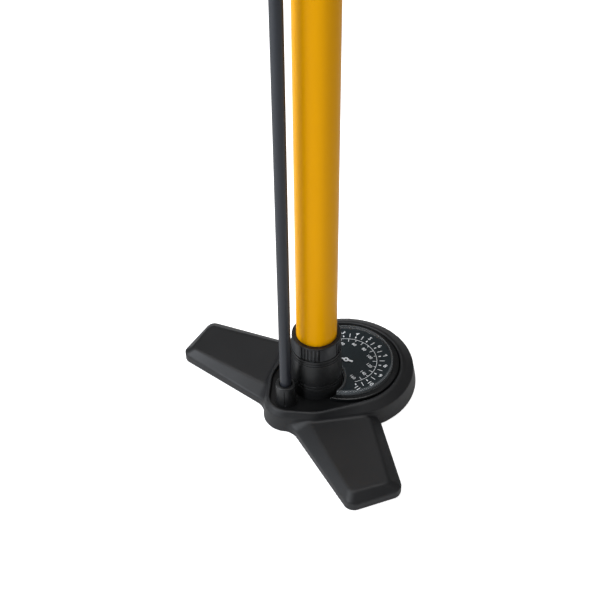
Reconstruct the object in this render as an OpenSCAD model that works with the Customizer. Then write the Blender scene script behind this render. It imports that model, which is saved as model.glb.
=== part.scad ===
// Floor bike pump with a winged base, a dial gauge in the base and a lever pump head.
// Origin: the barrel's axis on the floor. +Z up, gauge towards -Y, hose towards +Y.

/* [Barrel] */
// Outside diameter of the barrel tube
barrel_d = 35; // [34:0.5:36]
// Wall thickness of the barrel tube
barrel_wall = 1.25; // [1:0.05:1.5]
// Height of the barrel's top edge above the floor
barrel_top = 610; // [600:1:614]
// Outside diameter of the socket that holds the barrel on the base
socket_d = 43.6; // [42:0.1:46]
// Height of the top of the ribbed collar ring
collar_top = 79.7; // [70:0.1:90]
// Height of the ribbed collar ring itself
collar_h = 15.7; // [12:0.1:20]

/* [Base] */
// Gap between the housing's lower edge and the floor
base_lift = 0.5; // [0.3:0.1:1]
// Height of the vertical outer wall round the middle of the base
wall_top = 17.5; // [16:0.5:18]
// Height of the rim round the tray
rim_top = 23; // [22:0.5:24]
// Height of the tray's floor
deck = 19; // [18.5:0.1:19.5]
// Thickness of the housing's walls
shell = 3; // [2.5:0.1:3.2]
// Height of a wing's vertical edge
wing_edge = 8.5; // [7:0.5:10]
// Height of a wing's flat top
wing_top = 15.3; // [14:0.1:16.5]

/* [Gauge] */
// Distance of the gauge's centre in front of the barrel's axis
gauge_reach = 35; // [34:0.5:36]
// Diameter of the gauge's lens
lens_d = 85; // [84:0.5:86]
// Height of the lens's top face
lens_top = 26.6; // [26:0.1:27]
// Angle of the pointer's sweep from empty to full scale
sweep = 231; // [200:1:240]

/* [Plunger] */
// Diameter of the piston rod
rod_d = 12; // [11:0.5:13]
// Height of the handle's centre line with the plunger down
handle_z = 660; // [658:1:664]
// Width of the handle from end to end
handle_w = 250; // [220:5:270]
// Diameter of a grip
grip_d = 30; // [28:1:32]
// Lowest point of the piston assembly with the plunger down
piston_low = 42; // [41.5:0.5:46]

/* [Hose and pump head] */
// Outside diameter of the hose
hose_d = 10; // [9:0.1:10.2]
// Diameter of the pump head's valve opening
mouth_d = 8; // [7.8:0.1:8.4]
// Length of the lock lever from its pin to its tip
lever_l = 50; // [44:1:56]

/* [Hidden] */
$fn = 96;

// A hair of clearance between pieces that slide or are pushed together
fit = 0.05;
// Extra length that carries a cut past a face
past = 1;

barrel_r = barrel_d / 2;
bore_r = barrel_r - barrel_wall;
socket_r = socket_d / 2;
rod_r = rod_d / 2;
hose_r = hose_d / 2;

// Outline of the middle of the base at three heights: each pair is [y, radius] of a circle
floor_rings = [[-35, 64], [6, 41], [33, 20.5]];
wall_rings = [[-35, 61], [6, 40], [32.5, 20.3]];
rim_rings = [[-33, 53], [5, 38.5], [31, 20]];
rim_w = 2.5;

// Outline of one wing on the floor, and of its flat top
wing_floor = [[10, 42.5], [60, -21], [132.7, 18.7], [116.6, 64.7]];
wing_flat = [[27, 33], [58, -11.5], [124, 26.6], [110, 58]];
wing_corner_r = 8;
flat_corner_r = 3;

// Bottom plate, its screws and the feet
plate_low = 1.2;
plate_h = 2.4;
plate_top = plate_low + plate_h;
middle_screws = [[0, -88], [-44, -58], [44, -58], [-30, 24], [30, 24]];
wing_screws = [[-100, 38], [100, 38]];
screw_places = concat(middle_screws, wing_screws);
screw_head_r = 3;
screw_r = 1.45;
foot_r = 9;
foot_places = [[0, -75], [-92, 22], [92, 22], [0, 40]];
centre_foot_r = 20;

// Air passages under the barrel
hub_r = 24;
plug_r = 19;
plug_low = 6;
plug_top = 40;
chamber_r = 5;
chamber_low = 10;
seat_z = 33;
port_z = 13;
port_r = 1.8;

// Hose gland on the deck behind the barrel
gland_y = 35;
gland_r = 8.75;
gland_top = 41;
gland_thread_r = 7;
gland_step = 30;
elbow_r = 4;

// Gauge
gauge_y = -gauge_reach;
lens_r = lens_d / 2;
lens_h = 1.8;
lens_low = lens_top - lens_h;
skirt = 1.5;
case_r = lens_r + 2.5;
case_low = 4.5;
case_top = 20.8;
case_wall = 1.5;
bezel_r = case_r + 3;
bezel_top = 22.6;
scoop_r = 24.8;
dial_top = 23;
zero_angle = 25.5;
bourdon_r = 32;
gear_gap = 14;
pinion_r = 2.2;
sector_r = 11.4;
sector_sweep = sweep / 5;

// Top cap
cap_low = 588;
cap_top = 630;
cap_r = 21;

// Pump head: the hose comes down into it, the mouth looks along -Y, the lever is at the back
head_x = 48;
head_y = 8;
head_z = 450;
head_r = 11.5;
mouth_y = -16;
pin_y = 27;
hose_end_z = 474;
dock_z = 476;
dock_angle = atan2(head_y, head_x);

// Centre line of the hose: up behind the barrel, over in an arch, down to the pump head
hose_route = [
    [0, 35, 30], [0, 35, 70], [0, 35, 110], [0, 35, 170], [0, 35, 240], [0, 35, 320],
    [0, 35, 400], [0, 35, 480], [0, 35, 550], [0, 35, 604], [0, 35, 650], [0, 35, 690],
    [3, 35, 706], [12, 35, 720], [26, 35, 729], [42, 35, 732], [58, 35, 729], [72, 35, 720],
    [81, 35, 706], [84, 35, 690], [84, 35, 665], [83, 34, 640], [79, 31, 612], [71, 25, 582],
    [61, 17, 553], [53, 11, 528], [49, 8.5, 510], [48, 8, 498], [48, 8, 490], [48, 8, 482],
    [48, 8, 474]];
hose_clip_z = 598;

function unit(v) = v / norm(v);

// Inward normal of the side from p to q of a counter-clockwise outline
function side_normal(p, q) = let (d = unit(q - p)) [-d[1], d[0]];

// A counter-clockwise outline with every side moved inwards by d
function inset(outline, d) = let (n = len(outline)) [
    for (i = [0:n - 1])
        let (b = outline[i],
             m = side_normal(outline[(i + n - 1) % n], b),
             k = side_normal(b, outline[(i + 1) % n]))
        b + d * (m + k) / (1 + m * k)];

// Direction of the common tangent's normal between two circles [y, radius]
function tangent_angle(a, b) = asin((a[1] - b[1]) / (b[0] - a[0]));

// Points on a circle [y, radius] from one angle to another
function arc(c, from, to, steps) = [
    for (i = [0:steps]) let (t = from + (to - from) * i / steps)
        [c[1] * cos(t), c[0] + c[1] * sin(t)]];

// The +X half of the outline of three circles joined along their tangents, front to rear
function half_blob(rings) =
    let (t01 = tangent_angle(rings[0], rings[1]), t12 = tangent_angle(rings[1], rings[2]))
    concat(arc(rings[0], -88, t01, 30), arc(rings[1], t01 + 2, t12 - 2, 3),
           arc(rings[2], t12, 85, 9));

// The whole outline, counter-clockwise
function blob(rings) = let (h = half_blob(rings), n = len(h))
    concat(h, [for (i = [n - 1:-1:0]) [-h[i][0], h[i][1]]]);

function grow(rings, d) = [for (c = rings) [c[0], c[1] + d]];

// Point at t from 0 to 1 on the smooth curve from b to c, with a and d their neighbours
function curve(a, b, c, d, t) =
    0.5 * (2 * b + (c - a) * t + (2 * a - 5 * b + 4 * c - d) * t * t
           + (3 * b - a - 3 * c + d) * t * t * t);

// A route with extra points between its own, on one smooth curve
function smooth_route(p, steps) = let (n = len(p)) concat(
    [for (i = [0:n - 2], s = [0:steps - 1])
        curve(p[max(i - 1, 0)], p[i], p[i + 1], p[min(i + 2, n - 1)], s / steps)],
    [p[n - 1]]);

function heading(p, i) = unit(p[min(i + 1, len(p) - 1)] - p[max(i - 1, 0)]);

// Round rod of radius r along the points p; side is a direction that p never runs along
module swept_rod(p, r, sides, side) {
    n = len(p);
    rings = [
        for (i = [0:n - 1])
            let (t = heading(p, i), u = unit(cross(t, side)), v = cross(t, u))
            for (k = [0:sides - 1])
                let (a = 360 * k / sides) p[i] + r * (cos(a) * u + sin(a) * v)];
    walls = [
        for (i = [0:n - 2], k = [0:sides - 1])
            let (m = (k + 1) % sides)
            each [[i * sides + k, (i + 1) * sides + k, (i + 1) * sides + m],
                  [i * sides + k, (i + 1) * sides + m, i * sides + m]]];
    first = [for (k = [0:sides - 1]) k];
    last = [for (k = [sides - 1:-1:0]) (n - 1) * sides + k];
    polyhedron(points = rings, faces = concat(walls, [first, last]), convexity = 10);
}

module wings() {
    children();
    mirror([1, 0, 0]) children();
}

// Upright tube
module tube(r_out, r_in, low, high) {
    translate([0, 0, low]) difference() {
        cylinder(r = r_out, h = high - low);
        translate([0, 0, -past]) cylinder(r = r_in, h = high - low + 2 * past);
    }
}

// Disc about the gauge's centre with the scoop that clears the barrel's socket
module scooped_disc(r, low, high, scoop) {
    difference() {
        translate([0, gauge_y, low]) cylinder(r = r, h = high - low);
        translate([0, 0, low - past]) cylinder(r = scoop, h = high - low + 2 * past);
    }
}

// Cylinder along Y between two places
module along_y(r, y0, y1) {
    translate([0, y0, 0]) rotate([-90, 0, 0]) cylinder(r = r, h = y1 - y0);
}

// Cylinder along X between two places
module along_x(r, x0, x1) {
    translate([x0, 0, 0]) rotate([0, 90, 0]) cylinder(r = r, h = x1 - x0);
}

// ---------------------------------------------------------------- base

// Moulding of the base before it is hollowed
module base_block() {
    sliver = 0.01;
    hull() {
        translate([0, 0, base_lift]) linear_extrude(sliver) polygon(blob(floor_rings));
        translate([0, 0, wall_top]) linear_extrude(sliver) polygon(blob(wall_rings));
        translate([0, 0, rim_top - sliver]) linear_extrude(sliver) polygon(blob(rim_rings));
    }
    wings() hull() {
        for (c = inset(wing_floor, wing_corner_r)) translate([c[0], c[1], base_lift])
            cylinder(r = wing_corner_r, h = wing_edge - base_lift, $fn = 32);
        for (c = inset(wing_flat, flat_corner_r)) translate([c[0], c[1], wing_edge])
            cylinder(r = flat_corner_r, h = wing_top - wing_edge, $fn = 32);
    }
}

// Space under the deck and under the wings
module base_hollow() {
    deck_under = deck - shell;
    low = base_lift - past;
    translate([0, 0, low]) linear_extrude(deck_under - low)
        polygon(blob(grow(wall_rings, -shell)));
    wings() {
        translate([0, 0, low]) linear_extrude(wing_edge - 1.5 - low)
            polygon(inset(wing_floor, shell));
        translate([0, 0, low]) linear_extrude(wing_top - shell - low)
            polygon(inset(wing_floor, 3 * shell));
    }
}

module base_housing() color("#2b2c2e") difference() {
    union() {
        difference() {
            base_block();
            base_hollow();
            translate([0, 0, deck]) linear_extrude(rim_top)
                polygon(blob(grow(rim_rings, -rim_w)));
        }
        tube(hub_r, plug_r + fit, plate_top, deck);
        translate([0, gland_y, plate_top]) cylinder(r = gland_r, h = deck - plate_top);
        for (p = middle_screws) translate([p[0], p[1], plate_top])
            cylinder(r = 3.5, h = deck - 1 - plate_top);
        for (p = wing_screws) translate([p[0], p[1], plate_top])
            cylinder(r = 3.5, h = wing_top - 1 - plate_top);
    }
    scooped_disc(case_r + fit, deck - shell - past, deck + past, scoop_r + 0.2);
    translate([0, gland_y, plate_top - past])
        cylinder(r = gland_thread_r + fit, h = deck);
    translate([0, 0, plate_top - past]) cylinder(r = plug_r + fit, h = deck);
    for (p = screw_places) translate([p[0], p[1], plate_top - past])
        cylinder(r = screw_r + fit, h = 8, $fn = 24);
    translate([0, 0, port_z]) along_y(elbow_r + fit, plug_r - 3, gland_y);
    translate([0, 0, port_z]) along_y(3 + fit, -hub_r - past, 3 - plug_r);
}

module base_plate() color("#3a3b3d") difference() {
    union() {
        translate([0, 0, plate_low]) linear_extrude(plate_h)
            polygon(blob(grow(wall_rings, -shell - 0.3)));
        wings() translate([0, 0, plate_low]) linear_extrude(plate_h)
            polygon(inset(wing_floor, shell + 0.3));
    }
    for (p = screw_places) translate([p[0], p[1], plate_low]) {
        translate([0, 0, -past]) cylinder(r = screw_head_r + fit, h = past + 1.2, $fn = 32);
        cylinder(r = screw_r + 0.2, h = plate_h + past, $fn = 24);
    }
}

module base_feet() color("#1c1c1d") {
    cylinder(r = centre_foot_r, h = plate_low);
    for (p = foot_places) translate([p[0], p[1], 0]) cylinder(r = foot_r, h = plate_low);
}

module base_screws() color("#a8abb0") {
    for (p = screw_places) translate([p[0], p[1], plate_low]) difference() {
        union() {
            cylinder(r = screw_head_r, h = 1.2, $fn = 32);
            cylinder(r = screw_r, h = 9, $fn = 24);
        }
        translate([0, 0, -past]) cylinder(r = 1.2, h = past + 0.7, $fn = 6);
    }
}

// ---------------------------------------------------------------- barrel

module barrel() color("#eca500") tube(barrel_r, bore_r, deck, barrel_top);

module barrel_socket() color("#26272a") difference() {
    tube(socket_r - 0.2, barrel_r + fit, deck, collar_top - collar_h);
    for (z = [deck + 12.5, deck + 15.5, collar_top - collar_h - 5.8, collar_top - collar_h - 3.2])
        tube(socket_r + past, socket_r - 0.7, z, z + 0.5);
}

module collar_ring() color("#26272a") {
    rib_w = 1.2;
    tube(socket_r - 0.4, barrel_r + fit, collar_top - collar_h, collar_top);
    for (group = [0:3], rib = [-2:2]) rotate([0, 0, 45 + 90 * group + 8 * rib])
        translate([socket_r - 0.9, -rib_w / 2, collar_top - collar_h + 1])
        cube([0.9, rib_w, collar_h - 2]);
}

module base_plug() color("#c9ccd0") difference() {
    union() {
        translate([0, 0, plug_low]) cylinder(r = plug_r, h = deck - plug_low);
        translate([0, 0, plug_low]) cylinder(r = bore_r - fit, h = plug_top - plug_low);
    }
    tube(bore_r + past, bore_r - 1.8, 28, 31);
    translate([0, 0, chamber_low]) cylinder(r = chamber_r, h = seat_z - chamber_low);
    cylinder(r = 2.2, h = plug_top + past);
    cylinder(r = 3, h = plug_low + 2);
    translate([0, 0, port_z]) along_y(port_r, -plug_r - past, plug_r + past);
}

module plug_o_ring() color("#151515")
    translate([0, 0, 29.5]) rotate_extrude() translate([bore_r - 0.95, 0]) circle(r = 0.85, $fn = 24);

module valve_poppet() color("#8b1f1f") {
    translate([0, 0, seat_z - 2]) cylinder(r = chamber_r - 0.5, h = 1.85);
    translate([0, 0, seat_z - 10]) cylinder(r = 1.6, h = 8);
}

module valve_spring() color("#b8bcc2") {
    turns = 5;
    steps = 10;
    wire_r = 0.4;
    low = chamber_low + 0.4;
    high = seat_z - 2.4;
    swept_rod([for (i = [0:turns * steps])
        let (a = 360 * i / steps)
        [3 * cos(a), 3 * sin(a), low + (high - low) * i / (turns * steps)]],
        wire_r, 6, [0, 0, 1]);
}

module gauge_nipple() color("#c79a4b") translate([0, 0, port_z]) difference() {
    along_y(3, -gauge_reach + 7.6, -plug_r);
    along_y(port_r, -gauge_reach, 0);
}

module hose_elbow() color("#c79a4b") difference() {
    union() {
        translate([0, 0, port_z]) along_y(elbow_r, plug_r, gland_y);
        translate([0, gland_y, port_z - elbow_r])
            cylinder(r = elbow_r, h = gland_step - port_z + elbow_r);
    }
    translate([0, 0, port_z]) along_y(port_r, 0, gland_y);
    translate([0, gland_y, port_z]) cylinder(r = port_r, h = gland_step);
}

module hose_gland() color("#232426") translate([0, gland_y, 0]) difference() {
    union() {
        translate([0, 0, deck - 5]) cylinder(r = gland_thread_r, h = 6);
        translate([0, 0, deck]) cylinder(r1 = gland_r + 0.5, r2 = gland_r, h = 4);
        translate([0, 0, deck]) cylinder(r = gland_r, h = gland_top - deck);
    }
    translate([0, 0, deck - 6]) cylinder(r = elbow_r + fit, h = gland_top);
    translate([0, 0, gland_step]) cylinder(r = hose_r + 0.3, h = gland_top);
    translate([0, 0, deck - 5 - past]) along_y(elbow_r + fit, -gland_r, 0);
    for (a = [0:60:300]) rotate([0, 0, a + 15])
        translate([gland_r - 0.6, -0.5, deck + 2]) cube([2, 1, gland_top - deck - 5]);
}

// ---------------------------------------------------------------- gauge

module gauge_case() color("#2b2c2e") difference() {
    scooped_disc(case_r, case_low, case_top, scoop_r + 0.4);
    scooped_disc(case_r - case_wall - 2, case_low + case_wall, case_top + past,
        scoop_r + 0.4 + case_wall);
    translate([0, 0, port_z]) along_y(3 + fit, -gauge_reach, 0);
}

module gauge_bezel() color("#1f2022") difference() {
    scooped_disc(bezel_r, deck, bezel_top, scoop_r + 0.4);
    translate([0, gauge_y, deck - past]) cylinder(r = case_r + fit, h = case_top - deck + past);
    translate([0, gauge_y, deck]) cylinder(r = lens_r + fit, h = bezel_top);
}

module gauge_dial() color("#1a2030") difference() {
    scooped_disc(lens_r - skirt - 0.2, dial_top - 1, dial_top, scoop_r + skirt + 0.3);
    translate([0, gauge_y, deck]) cylinder(r = 1.5, h = lens_top, $fn = 32);
}

module gauge_lens() color([0.85, 0.92, 0.95, 0.35]) difference() {
    scooped_disc(lens_r, case_top, lens_top, scoop_r);
    scooped_disc(lens_r - skirt, case_top - past, lens_low, scoop_r + skirt);
}

module bourdon_tube() color("#c79a4b") translate([0, gauge_y, 14]) rotate([0, 0, -190])
    rotate_extrude(angle = 229) translate([bourdon_r, 0]) square([2, 7], center = true);

module gauge_stem_block() color("#c79a4b") difference() {
    bar_y = gauge_y + 1.8;
    translate([-bourdon_r + 1.4, bar_y, 9]) cube([bourdon_r + 3.6, 5.7, 7]);
    translate([0, 0, port_z]) along_y(port_r, bar_y + 2, bar_y + 7);
    translate([0, bar_y + 3, port_z]) along_x(port_r, -bourdon_r, 0);
}

module movement_frame() color("#b08d45") difference() {
    posts_low = case_low + case_wall;
    union() {
        for (z = [16.4, 19.4]) translate([-18, gauge_y - 24, z]) cube([36, 28, 1]);
        for (x = [-15, 15], y = [-21, -3]) translate([x, gauge_y + y, posts_low])
            cylinder(r = 1.5, h = dial_top - 1 - posts_low, $fn = 24);
    }
    translate([0, gauge_y, deck - 4]) cylinder(r = 1 + fit, h = 8, $fn = 32);
    translate([0, gauge_y - gear_gap, deck - 4]) cylinder(r = 1 + fit, h = 8, $fn = 32);
}

module sector_gear() color("#d8b45c") translate([0, gauge_y - gear_gap, 0])
    rotate([0, 0, 90 - sector_sweep / 2]) {
        translate([0, 0, 15.9]) cylinder(r = 1, h = 5, $fn = 32);
        translate([0, 0, 17.8]) rotate([0, 0, -30]) rotate_extrude(angle = 60)
            square([sector_r - 0.8, 1.2]);
        for (i = [-9:9]) rotate([0, 0, 3 * i]) translate([sector_r - 1, -0.2, 17.8])
            cube([1, 0.4, 1.2]);
    }

module pinion_arbor() color("#d8b45c") translate([0, gauge_y, 0]) {
    translate([0, 0, 15.9]) cylinder(r = 1, h = 8.3, $fn = 32);
    translate([0, 0, 17.8]) cylinder(r = pinion_r - 0.5, h = 1.2, $fn = 32);
    for (i = [0:9]) rotate([0, 0, 36 * i]) translate([1, -0.25, 17.8]) cube([pinion_r - 1, 0.5, 1.2]);
}

module gauge_pointer() color("#f2f2ee") translate([0, gauge_y, 23.6])
    rotate([0, 0, zero_angle]) difference() {
        union() {
            cylinder(r = 2.5, h = 0.6);
            linear_extrude(0.6) polygon([[0, -1], [27, -0.3], [27, 0.3], [0, 1]]);
            translate([-6.5, -0.9, 0]) cube([6.5, 1.8, 0.6]);
        }
        translate([0, 0, -past]) cylinder(r = 1, h = past + 0.6 + past, $fn = 32);
    }

// ---------------------------------------------------------------- top of the barrel

module top_cap() color("#26272a") difference() {
    union() {
        translate([0, 0, cap_low]) cylinder(r = cap_r, h = 26);
        translate([0, 0, cap_low + 26]) cylinder(r1 = cap_r, r2 = 14, h = cap_top - cap_low - 26);
    }
    translate([0, 0, cap_low - past]) cylinder(r = barrel_r + fit, h = barrel_top - cap_low + past);
    translate([0, 0, cap_low]) cylinder(r = 9 + fit, h = cap_top - 2 - cap_low);
    translate([0, 0, cap_low]) cylinder(r = rod_r + 1, h = cap_top);
    for (a = [60, 300]) rotate([0, 0, a]) translate([12, 0, barrel_top - 1])
        cylinder(r = 1.2, h = 30, $fn = 24);
}

module rod_bush() color("#e6e2d6") difference() {
    union() {
        translate([0, 0, barrel_top - 6]) cylinder(r = bore_r - fit, h = 6);
        translate([0, 0, barrel_top - 6]) cylinder(r = 9, h = 17);
    }
    translate([0, 0, barrel_top - 7]) cylinder(r = rod_r + fit, h = 30);
    for (a = [0:90:270]) rotate([0, 0, a]) translate([12.5, 0, barrel_top - 7])
        cylinder(r = 1.5, h = 9, $fn = 24);
}

module rod_wiper() color("#151515") tube(9, rod_r + fit, barrel_top + 11, cap_top - 2);

module hose_clip() color("#26272a") difference() {
    union() {
        translate([0, 35, hose_clip_z]) cylinder(r = hose_r + 2.5, h = 12);
        translate([-4, cap_r - 0.6, hose_clip_z]) cube([8, 10, 12]);
        tube(cap_r + 1.5, cap_r + fit, hose_clip_z, hose_clip_z + 12);
    }
    translate([0, 35, hose_clip_z - past]) cylinder(r = hose_r + 0.15, h = 14);
    translate([-3.8, 35, hose_clip_z - past]) cube([7.6, 10, 14]);
    translate([0, 0, hose_clip_z - past]) cylinder(r = cap_r + fit, h = 14);
}

module head_dock() color("#26272a") difference() {
    union() {
        tube(barrel_r + 2.5, barrel_r + fit, dock_z, dock_z + 12);
        rotate([0, 0, dock_angle]) translate([barrel_r + 1, -4, dock_z])
            cube([norm([head_x, head_y]) - barrel_r - 8, 8, 12]);
        translate([head_x, head_y, dock_z]) cylinder(r = 9.5, h = 12);
    }
    translate([head_x, head_y, dock_z - past]) cylinder(r = 7.2, h = 14);
    rotate([0, 0, dock_angle]) translate([norm([head_x, head_y]) + 2, -5.2, dock_z - past])
        cube([12, 10.4, 14]);
}

// ---------------------------------------------------------------- plunger

module piston_rod() color("#c4c8cd") difference() {
    translate([0, 0, piston_low + 6]) cylinder(r = rod_r, h = handle_z - 6 - piston_low);
    translate([0, 0, handle_z - 30]) cylinder(r = 3, h = 40);
    translate([0, 0, piston_low]) cylinder(r = 3, h = 20);
}

module piston() color("#e6e2d6") translate([0, 0, piston_low]) difference() {
    translate([0, 0, 13]) cylinder(r = bore_r - 0.4, h = 16);
    cylinder(r = rod_r + fit, h = 40);
    tube(bore_r + past, bore_r - 2, 19, 23);
}

module piston_cup() color("#3d2c1e") translate([0, 0, piston_low]) difference() {
    translate([0, 0, 6]) cylinder(r = bore_r - fit, h = 7);
    translate([0, 0, 5]) cylinder(r = rod_r + fit, h = 10);
    translate([0, 0, 5]) cylinder(r = bore_r - 2, h = 5);
}

module piston_washer() color("#b8bcc2") translate([0, 0, piston_low])
    difference() {
        translate([0, 0, 3]) cylinder(r = 12, h = 3);
        translate([0, 0, 2]) cylinder(r = 3 + fit, h = 5);
    }

module piston_screw() color("#a8abb0") translate([0, 0, piston_low]) {
    cylinder(r = 5, h = 3, $fn = 6);
    cylinder(r = 3 - fit, h = 18, $fn = 32);
}

module rod_bumper() color("#1c1c1d") tube(12, rod_r + fit, cap_top + 0.6, handle_z - 19);

module handle_core() color("#26272a") difference() {
    union() {
        translate([0, 0, handle_z - 19]) cylinder(r = 16, h = 35);
        translate([0, 0, handle_z]) along_x(8, 3 - handle_w / 2, handle_w / 2 - 3);
        translate([0, 0, handle_z]) along_x(14, -24, 24);
    }
    translate([0, 0, handle_z - 20]) cylinder(r = rod_r + fit, h = 20);
    translate([0, 0, handle_z - 1]) cylinder(r = 3 + fit, h = 20);
    translate([0, 0, handle_z + 8]) cylinder(r = 10 + fit, h = 20);
    for (s = [-1, 1]) translate([0, 0, handle_z])
        along_x(5, s * (handle_w / 2 - 8) - 6, s * (handle_w / 2 - 8) + 6);
}

module grip() color("#303134") difference() {
    translate([0, 0, handle_z]) union() {
        along_x(grip_d / 2, 24.2, handle_w / 2 - 3);
        along_x(grip_d / 2 + 1.2, handle_w / 2 - 12, handle_w / 2 - 3);
    }
    translate([0, 0, handle_z]) along_x(8 + fit, 20, handle_w / 2);
}

module grip_left() mirror([1, 0, 0]) grip();
module grip_right() grip();

module handle_end_caps() color("#1c1c1d") wings() translate([0, 0, handle_z]) {
    along_x(grip_d / 2 - 1, handle_w / 2 - 3, handle_w / 2);
    along_x(5 - fit, handle_w / 2 - 12, handle_w / 2 - 2);
}

module handle_bolt() color("#a8abb0") difference() {
    union() {
        translate([0, 0, handle_z + 8]) cylinder(r = 5, h = 5);
        translate([0, 0, handle_z - 24]) cylinder(r = 3 - fit, h = 34, $fn = 32);
    }
    translate([0, 0, handle_z + 10]) cylinder(r = 2.9, h = 6, $fn = 6);
}

module handle_cap() color("#2f3033") {
    translate([0, 0, handle_z + 13.5]) cylinder(r = 10, h = 2.5);
    translate([0, 0, handle_z + 16]) cylinder(r1 = 10, r2 = 8, h = 2);
}

// ---------------------------------------------------------------- hose and pump head

module hose() color("#24262b") swept_rod(smooth_route(hose_route, 2), hose_r, 12, [0, 1, 0]);

module head_ferrule() color("#b8bcc2") translate([head_x, head_y, 0]) difference() {
    translate([0, 0, head_z + 18]) cylinder(r = 7, h = 22);
    translate([0, 0, hose_end_z]) cylinder(r = hose_r + fit, h = 30);
    translate([0, 0, head_z]) cylinder(r = 2, h = 40);
}

module head_body() color("#232426") difference() {
    union() {
        translate([head_x, 0, head_z]) along_y(head_r, mouth_y + 6, pin_y - 8);
        translate([head_x, head_y, head_z]) cylinder(r = 8.5, h = 18);
        for (s = [-1, 1]) translate([head_x + s * 8.2 - 1.5, pin_y - 9, head_z - 5.5])
            cube([3, 9, 11]);
        for (s = [-1, 1]) translate([0, pin_y, head_z])
            along_x(6, head_x + s * 8.2 - 1.5, head_x + s * 8.2 + 1.5);
    }
    translate([head_x, 0, head_z]) along_y(8, mouth_y, head_y + 3);
    translate([head_x, 0, head_z]) along_y(4 + fit, mouth_y, pin_y + 8);
    translate([head_x, head_y, head_z]) cylinder(r = 2, h = 20);
    translate([0, pin_y, head_z]) along_x(2 + fit, head_x - 12, head_x + 12);
}

module head_nut() color("#2f3033") translate([head_x, 0, head_z]) difference() {
    union() {
        along_y(head_r + 1, mouth_y, mouth_y + 10);
        for (a = [0:20:340]) rotate([0, a, 0]) translate([head_r + 0.6, mouth_y + 1.5, -0.8])
            cube([1, 7, 1.6]);
    }
    along_y(mouth_d / 2, mouth_y - past, mouth_y + 3);
    along_y(head_r + fit, mouth_y + 6, mouth_y + 11);
    along_y(8 + fit, mouth_y + 2, mouth_y + 7);
}

module head_gasket() color("#6b6f75") translate([head_x, 0, head_z]) difference() {
    along_y(7.8, mouth_y + 2.2, mouth_y + 13);
    along_y(mouth_d / 2, mouth_y, mouth_y + 14);
}

module head_pusher() color("#c9ccd0") translate([head_x, 0, head_z]) difference() {
    union() {
        along_y(7.8, mouth_y + 14, mouth_y + 18);
        along_y(4, mouth_y + 14, pin_y - 5.95);
    }
    along_y(mouth_d / 2 - 1.5, mouth_y + 13, mouth_y + 16);
}

module head_lever() color("#d9a400") translate([head_x, pin_y, head_z]) difference() {
    union() {
        translate([0, 0, 0.8]) along_x(5.5, -6, 6);
        translate([-6, -2.5, -lever_l + 6]) cube([12, 6.5, lever_l - 6]);
        translate([0, 0.75, -lever_l + 6]) along_x(3.25, -6, 6);
    }
    along_x(2 + fit, -10, 10);
}

module lever_pin() color("#b8bcc2") translate([0, pin_y, head_z]) along_x(2, head_x - 9.7, head_x + 9.7);

base_housing();
base_plate();
base_feet();
base_screws();
barrel();
barrel_socket();
collar_ring();
base_plug();
plug_o_ring();
valve_poppet();
valve_spring();
gauge_nipple();
hose_elbow();
hose_gland();
gauge_case();
gauge_bezel();
gauge_dial();
gauge_lens();
bourdon_tube();
gauge_stem_block();
movement_frame();
sector_gear();
pinion_arbor();
gauge_pointer();
top_cap();
rod_bush();
rod_wiper();
hose_clip();
head_dock();
piston_rod();
piston();
piston_cup();
piston_washer();
piston_screw();
rod_bumper();
handle_core();
grip_left();
grip_right();
handle_end_caps();
handle_bolt();
handle_cap();
hose();
head_ferrule();
head_body();
head_nut();
head_gasket();
head_pusher();
head_lever();
lever_pin();
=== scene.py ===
"""Floor bike pump: the looks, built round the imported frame.

Objects are in metres, +Z up, with the barrel's axis at x = y = 0 and the floor at z = 0.
"""

import math

import bmesh
import bpy
import numpy as np
from mathutils import Matrix, Vector


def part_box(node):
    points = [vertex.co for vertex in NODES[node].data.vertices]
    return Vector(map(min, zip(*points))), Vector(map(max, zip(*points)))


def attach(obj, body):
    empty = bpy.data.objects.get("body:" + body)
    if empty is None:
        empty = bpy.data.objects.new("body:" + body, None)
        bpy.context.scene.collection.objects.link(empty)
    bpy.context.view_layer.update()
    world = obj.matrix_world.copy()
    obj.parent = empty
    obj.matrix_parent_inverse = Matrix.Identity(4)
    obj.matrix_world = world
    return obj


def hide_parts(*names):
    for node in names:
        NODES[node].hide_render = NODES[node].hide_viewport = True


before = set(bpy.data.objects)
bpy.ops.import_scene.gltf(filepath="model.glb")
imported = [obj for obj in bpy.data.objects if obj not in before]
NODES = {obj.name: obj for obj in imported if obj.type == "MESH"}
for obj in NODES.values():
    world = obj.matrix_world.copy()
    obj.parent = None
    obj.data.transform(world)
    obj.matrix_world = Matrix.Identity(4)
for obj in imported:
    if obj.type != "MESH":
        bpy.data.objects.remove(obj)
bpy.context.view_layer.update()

# ---------------------------------------------------------------- camera
# The view looks down on the foot from the hose's side, level apart from a slight tilt.
view_azimuth = math.radians(230.67)
view_elevation = math.radians(42.3)
view_roll = math.radians(-0.75)
view_target = Vector((0, 0.0178, 0.1276))
view_distance = 0.946
back = Vector((math.sin(view_azimuth) * math.cos(view_elevation),
               -math.cos(view_azimuth) * math.cos(view_elevation),
               math.sin(view_elevation)))
level = Vector((math.cos(view_azimuth), math.sin(view_azimuth), 0))
upright = back.cross(level)
right = math.cos(view_roll) * level + math.sin(view_roll) * upright
camera = bpy.data.objects.new("camera", bpy.data.cameras.new("camera"))
bpy.context.scene.collection.objects.link(camera)
camera.matrix_world = Matrix.Translation(view_target + back * view_distance) @ Matrix(
    (right, back.cross(right), back)).transposed().to_4x4()
camera.data.lens = 69.2
camera.data.sensor_width = 36
camera.data.clip_start = 0.05
bpy.context.scene.camera = camera
bpy.context.scene.view_settings.view_transform = "Standard"


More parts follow.
